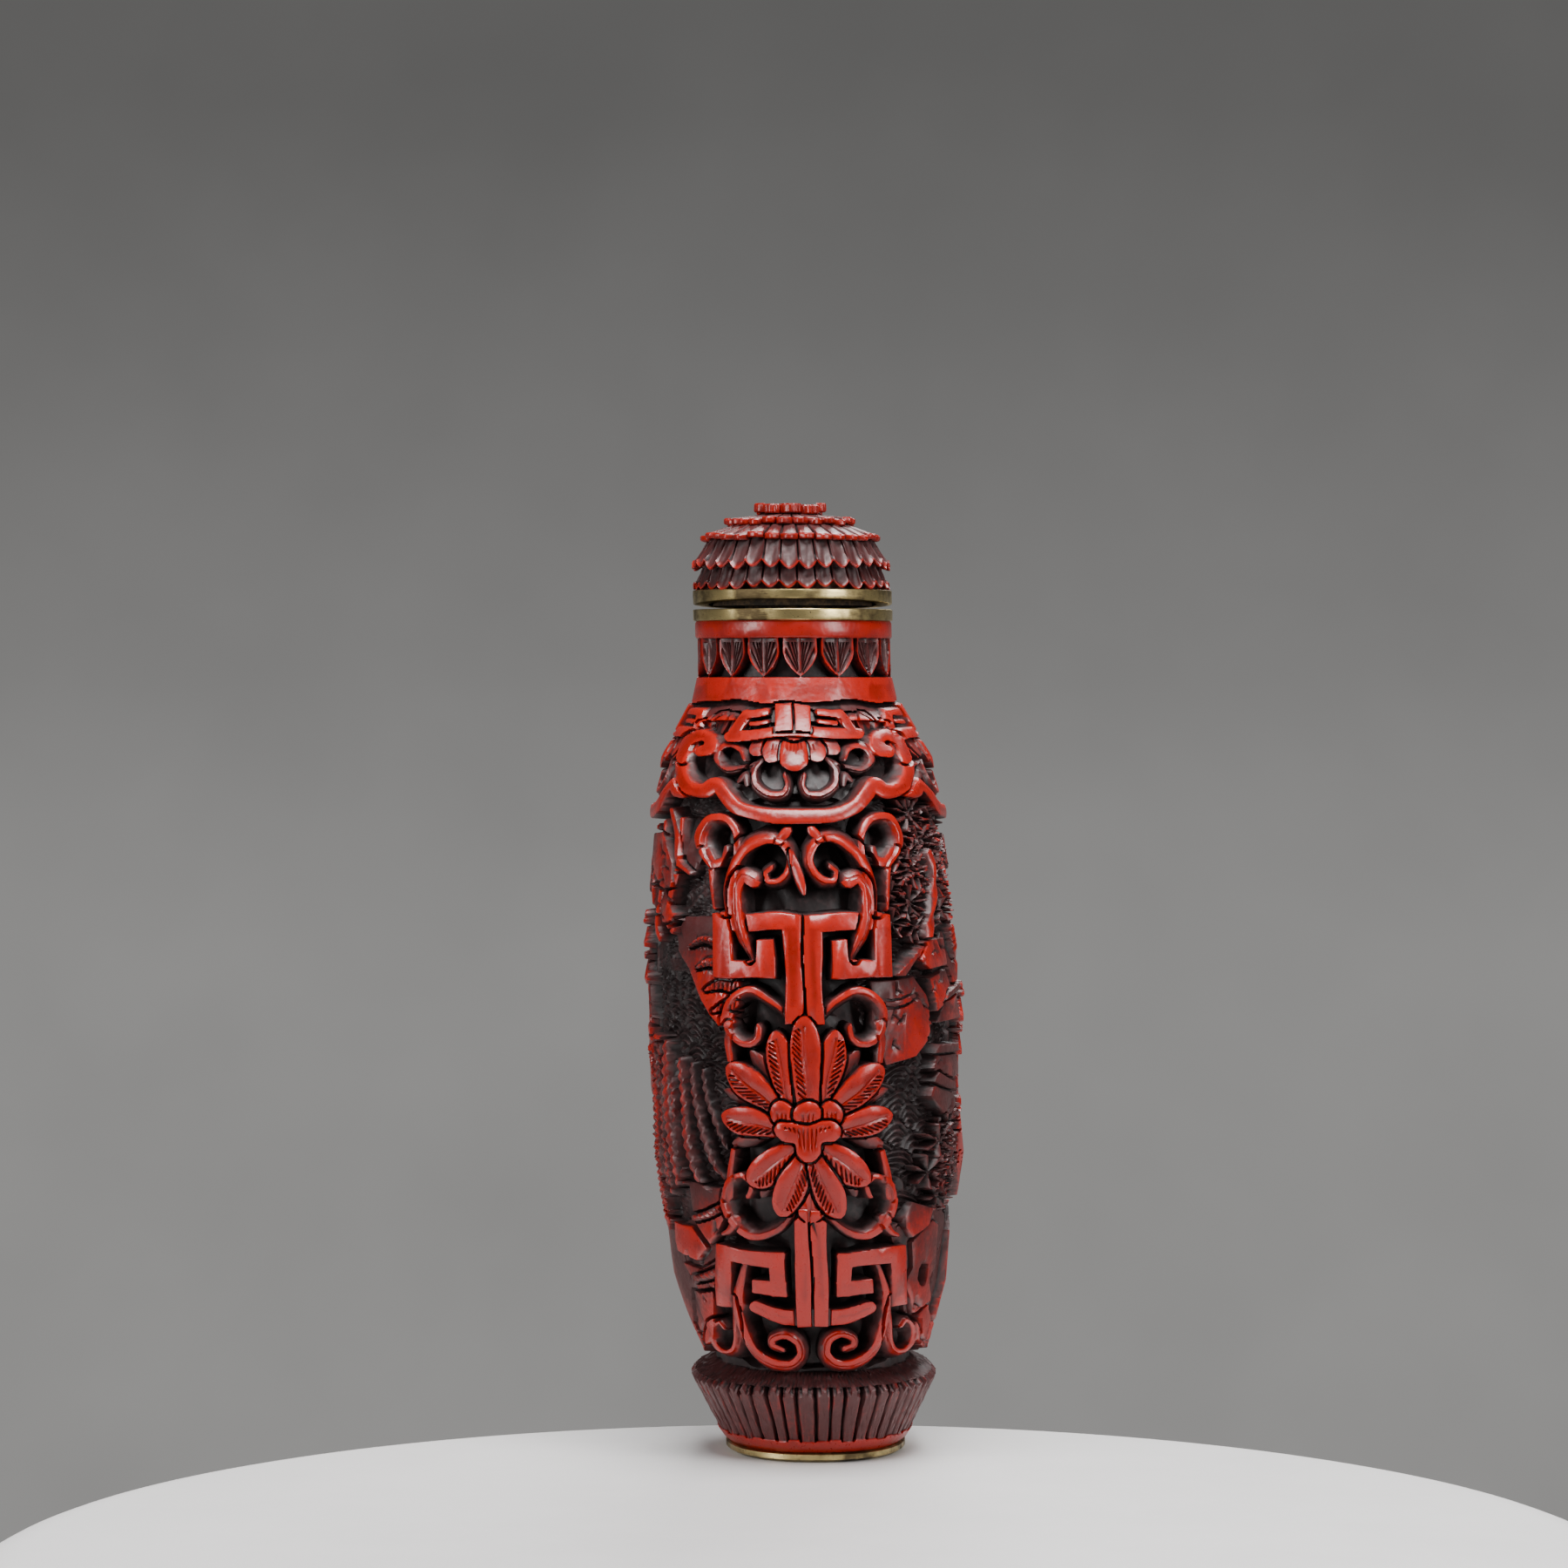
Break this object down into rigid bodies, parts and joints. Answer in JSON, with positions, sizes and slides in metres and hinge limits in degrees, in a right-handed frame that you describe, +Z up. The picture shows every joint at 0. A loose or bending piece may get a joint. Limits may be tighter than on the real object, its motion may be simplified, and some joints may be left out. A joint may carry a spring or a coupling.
{
  "type": "snuff bottle",
  "caption": "Flattened snuff bottle of carved red lacquer with a petalled stopper, brass neck rim, collar and foot plate, ruyi lappets, key frets, a lotus and landscapes.",
  "frame": {"origin": "under the middle of the bottle, on the surface that its foot stands on", "axes": "+Z up the bottle, X through its thickness between the two wide landscape faces, Y along its width between the two narrow sides"},
  "size_m": [0.0276, 0.0426, 0.082],
  "materials": {
    "lacquer": "carved cinnabar red lacquer, satin on the faces, dark maroon wax in the recesses",
    "brass": "dull tarnished brass",
    "cork": "dark stained cork, matt"
  },
  "bodies": {
    "root": {"bottle_body": "lacquer", "foot_plate": "brass", "neck_rim": "brass", "stopper_collar": "brass", "stopper_plug": "cork", "stopper_cap": "lacquer"}
  },
  "joints": []
}
